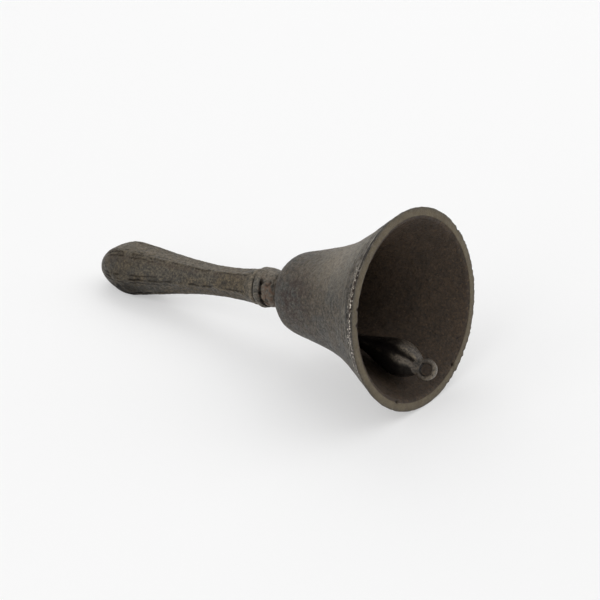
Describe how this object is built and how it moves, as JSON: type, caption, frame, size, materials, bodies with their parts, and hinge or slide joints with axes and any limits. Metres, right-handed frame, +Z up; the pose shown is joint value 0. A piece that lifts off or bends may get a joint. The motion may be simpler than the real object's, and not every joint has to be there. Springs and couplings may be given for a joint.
{
  "type": "service bell",
  "caption": "Hand-held cast iron service bell with a flared cup, a faceted handle and a swinging clapper hung from a hook.",
  "frame": {"origin": "on the ground, under the middle of the box that holds the bell lying on its side", "axes": "+X along the bell towards its mouth, +Z up; the bell lies on its side, so its own axis rises 11.6 degrees towards the mouth"},
  "size_m": [0.1688, 0.08, 0.0784],
  "materials": {
    "cup_iron": "sand-cast with a dark brown-grey patina, ground bare at the lip",
    "collar_iron": "sand-cast, pitted, dark brown-grey patina",
    "handle_iron": "sand-cast, facets worn smooth by handling",
    "bolt_steel": "forged iron, oxidised",
    "washer_steel": "plain steel, tarnished",
    "nut_steel": "plain steel, tarnished",
    "hook_steel": "bent wire, tarnished",
    "clapper_iron": "rough cast with a seam, worn bright around the free eye"
  },
  "bodies": {
    "bell": {"bell_shell": "cup_iron", "neck_collar": "collar_iron", "handle": "handle_iron", "staple_bolt": "bolt_steel", "crown_washer": "washer_steel", "crown_nut": "nut_steel"},
    "hook": {"s_hook": "hook_steel"},
    "clapper": {"clapper": "clapper_iron"}
  },
  "joints": [
    {"name": "hook_swing", "type": "hinge", "parent": "bell", "child": "hook", "pos_m": [0.02791, 0, 0.02999], "axis": [-0.1419, -0.7071, 0.6927], "range_deg": [0, 48]},
    {"name": "clapper_swing", "type": "hinge", "parent": "hook", "child": "clapper", "pos_m": [0.03759, -0.00839, 0.02341], "axis": [0.1419, -0.7071, -0.6927], "range_deg": [0, 43]}
  ]
}
